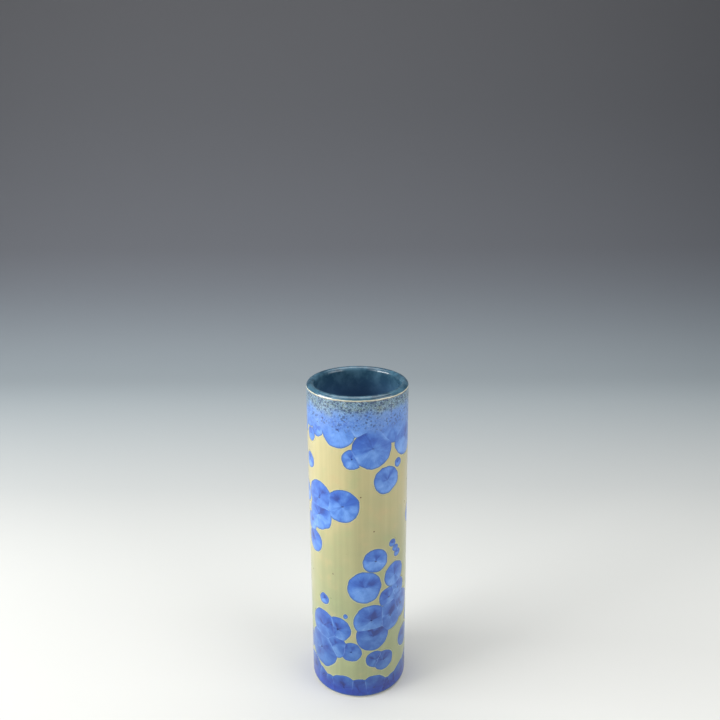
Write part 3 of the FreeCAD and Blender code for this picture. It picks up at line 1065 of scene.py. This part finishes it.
def makeBisque():
    material, tree, sockets = newMaterial("groundPorcelain")
    place = useGroup(tree, wallPlace)["Place"]
    grain = noise(tree, place, 2.4, 4, 0.6)
    x, y, z = parts(tree, place)
    radius = calcVector(tree, "LENGTH", joined(tree, x, y, 0.0))
    turning = noise(tree, joined(tree, times(tree, radius, 2.5), 0.0, 0.0), 1.0, 3)
    colour = washed(tree, bisque["light"], bisque["dark"], grain, 0.3, 0.75)
    colour = washed(tree, colour, bisque["soiled"], noise(tree, place, 0.12, 3), 0.55, 0.8, 0.35)
    rough = spread(tree, grain, 0.2, 0.8, 0.62, 0.8)
    dress(tree, sockets, colour, rough, plus(tree, grain, turning), finish["bisqueBump"])
    return material


# the pieces
def settle(piece, slot, *nodes):
    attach(piece, "root")
    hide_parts(*nodes)


coats = (
    ("outerCoat", outerCoatSection(), makeOuterCoat(), "outer_glaze"),
    ("rimCoat", rimCoatSection(), makeLipCoat("mottledRimCoat", "rim"), "rim_glaze"),
    ("lipEdge", lipEdgeSection(), makeLipCoat("thinLipEdge", "edge"), "lip_edge_glaze"),
    ("liner", linerSection(), makeLipCoat("linerCoat", "liner"), "liner_glaze"),
)
for name, section, material, node in coats:
    settle(turnCoat(name, section, material), node, node)
print("stage: coats turned")

fans = makeCrystals()
allSeeds = seedsObject("allSeeds", seeds)
for node in crystalNodes:
    group = node.split("_")[0]
    source = seedsObject(group + "Seeds", [s for s in seeds if s["group"] == node])
    piece = runTree(growCrystals, source, group + "Crystals", All_Seeds=allSeeds, Material=fans,
                    **crystal["shape"])
    dropSource(source)
    settle(piece, "crystal", node)
    print("stage:", piece.name, len(piece.data.polygons), "faces")

core = {
    "shape": {"Size": 0.075, "Spokes": 32, "Uneven": 1.5, "Vary": 0.75, "Tall": 0.7,
              "Skin": 0.055 * mm, "Sunk": 0.2 * mm},
    "dark": paint(16, 30, 84), "light": paint(34, 62, 136), "rough": 0.28,
}
speck = {
    "shape": {"Size": 1.0, "Spokes": 24, "Uneven": 0.35, "Tall": 0.9,
              "Skin": 0.06 * mm, "Sunk": 0.2 * mm},
    "dark": paint(84, 60, 34), "light": paint(122, 100, 62), "rough": 0.3,
}


def letIn(source, name, look, inkName):
    ink = makeDots(inkName, look["dark"], look["light"], look["rough"])
    piece = runTree(letInDots, source, name, Material=ink, **look["shape"])
    dropSource(source)
    return piece


settle(letIn(allSeeds, "crystalCores", core, "coreInk"), "crystal_core", "crystal_cores")
specks = sorted(roundPlug(points) for points in nodeIslands("iron_specks"))
speckSeeds = seedsObject("specks", [
    {"around": a, "height": h, "reach": r, "number": i} for i, (a, h, r) in enumerate(specks)])
settle(letIn(speckSeeds, "ironSpecks", speck, "ironSpeck"), "iron", "iron_specks")

clay = frame["nodes"]["clay_body"]
clay.data.materials.clear()
clay.data.materials.append(makeBisque())
print("stage: pieces done")


# stage, light and camera
sweep = {
    "front": -1.2, "bend": 0.75, "radius": 0.5, "height": 2.2, "half": 2.4, "steps": 24,
    "graded": 2.5,  # metres over floor and wall that the painted shade runs across, pale on the floor and darker up the back wall
    "paintedFalloff": [
        (0.0, paint(218, 218, 214)), (0.06, paint(220, 221, 217)), (0.13, paint(197, 199, 197)),
        (0.25, paint(173, 183, 187)), (0.34, paint(150, 159, 165)), (0.44, paint(115, 121, 128)),
        (0.53, paint(97, 99, 105)), (0.8, paint(76, 76, 79)),
    ],
}


def makeSweep():
    # floor, curved corner and back wall as one sheet
    corner = (sweep["bend"], sweep["radius"])
    points = [(sweep["front"], 0.0)] + arcPoints(corner, sweep["radius"], -90, 0, sweep["steps"])
    points.append((points[-1][0], sweep["height"]))
    vertices = [(side * sweep["half"], y, z) for y, z in points for side in (-1, 1)]
    faces = [(2 * i, 2 * i + 1, 2 * i + 3, 2 * i + 2) for i in range(len(points) - 1)]
    mesh = bpy.data.meshes.new("sweep")
    mesh.from_pydata(vertices, [], faces)
    mesh.polygons.foreach_set("use_smooth", [True] * len(faces))
    floor = bpy.data.objects.new("sweep", mesh)
    scene.collection.objects.link(floor)
    material, tree, sockets = newMaterial("paperSweep")
    x, y, z = parts(tree, add(tree, "ShaderNodeTexCoord").outputs["Object"])
    # painted shade: the sheet darkens from the floor up the back wall, standing for light falling
    # off
    run = over(tree, plus(tree, y, z), sweep["graded"])
    feed(tree, sockets["Base Color"], ramp(tree, run, sweep["paintedFalloff"], "B_SPLINE"))
    sockets["Roughness"].default_value = 0.9
    mesh.materials.append(material)


lights = {
    "key": {"place": (-1.36, -0.35, 0.48), "aim": (0, 0, 0.17), "size": (0.95, 0.9), "watts": 25},
    "wing": {"place": (-1.1, -0.8, 0.9), "aim": (0, 0, 0.12), "size": (0.9, 0.9), "watts": 5.5},
    "fill": {"place": (0.9, -0.5, 0.5), "aim": (0, 0, 0.12), "size": (0.8, 1.0), "watts": 6.5},
    "top": {"place": (0.0, 0.2, 1.5), "aim": (0, 0.1, 0), "size": (1.6, 1.2), "watts": 16.5},
}


def makeLight(name, place, aim, size, watts):
    data = bpy.data.lights.new(name, "AREA")
    data.shape = "RECTANGLE"
    data.size, data.size_y = size
    data.energy = watts
    lamp = bpy.data.objects.new(name, data)
    lamp.location = place
    lamp.rotation_euler = (Vector(aim) - Vector(place)).to_track_quat("-Z", "Y").to_euler()
    scene.collection.objects.link(lamp)


view = {
    "lens": 36.35,
    "place": (0.071, -13.45, 11.222),  # in outer radii of the vase
    "down": 17.11,  # degrees
    "roll": 0.25,
}


def makeCamera():
    # a normal lens from a little above the lip, turned down on the vase
    data = bpy.data.cameras.new("camera")
    data.sensor_width, data.lens = 36, view["lens"]
    camera = bpy.data.objects.new("camera", data)
    camera.location = [along * wall["outer"] for along in view["place"]]
    camera.rotation_euler = (math.radians(90 - view["down"]), math.radians(view["roll"]), 0)
    scene.collection.objects.link(camera)
    scene.camera = camera


surround = {"colour": paint(214, 220, 228), "strength": 0.18}

makeSweep()
for name, settings in lights.items():
    makeLight(name, **settings)
makeCamera()
world = bpy.data.worlds.new("studio")
world.use_nodes = True
backdrop = world.node_tree.nodes["Background"]
backdrop.inputs[0].default_value = surround["colour"]
backdrop.inputs[1].default_value = surround["strength"]
scene.world = world
scene.view_settings.view_transform = "Standard"
